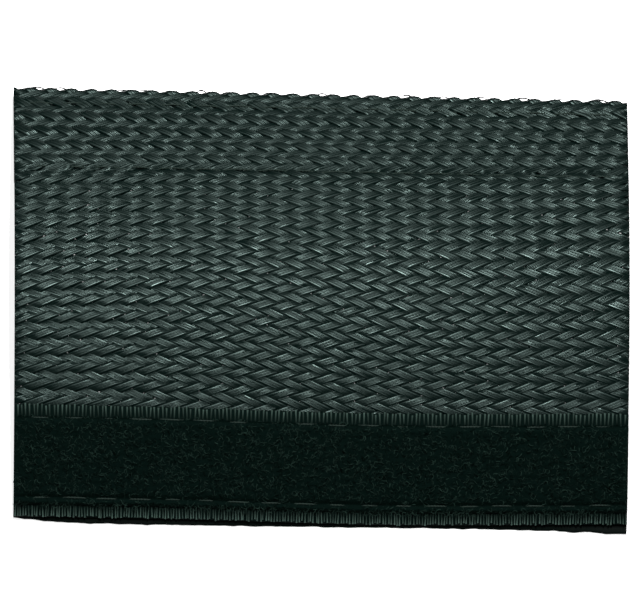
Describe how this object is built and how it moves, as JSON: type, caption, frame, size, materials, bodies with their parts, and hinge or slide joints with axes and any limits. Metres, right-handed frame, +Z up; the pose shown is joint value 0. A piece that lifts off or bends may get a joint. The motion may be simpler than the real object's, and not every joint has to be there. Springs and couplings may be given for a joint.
{
  "type": "braided cable sleeve",
  "caption": "Wrap-around cable sleeve of black monofilament braid, open and gently arched, with a loop tape sewn along one edge and a hook tape under the folded opposite edge.",
  "frame": {"origin": "middle of the footprint, on the level surface that the open sleeve lies on", "axes": "+X along the sleeve, +Y from the loop tape's edge to the folded edge with the hook tape, +Z up"},
  "size_m": [0.11, 0.085, 0.0107],
  "materials": {
    "braid": "satin black polyester monofilament, braided",
    "loop_tape": "black woven tape with a dense loop pile",
    "hook_tape": "black woven tape with stiff monofilament hooks",
    "sewing_thread": "black twisted polyester thread"
  },
  "bodies": {
    "root": {"braid_sleeve": "braid", "loop_tape": "loop_tape", "hook_tape": "hook_tape", "loop_seam_outer_needle_thread": "sewing_thread", "loop_seam_outer_bobbin_thread": "sewing_thread", "loop_seam_inner_needle_thread": "sewing_thread", "loop_seam_inner_bobbin_thread": "sewing_thread", "hook_seam_inner_needle_thread": "sewing_thread", "hook_seam_inner_bobbin_thread": "sewing_thread", "hook_seam_outer_needle_thread": "sewing_thread", "hook_seam_outer_bobbin_thread": "sewing_thread"}
  },
  "joints": []
}
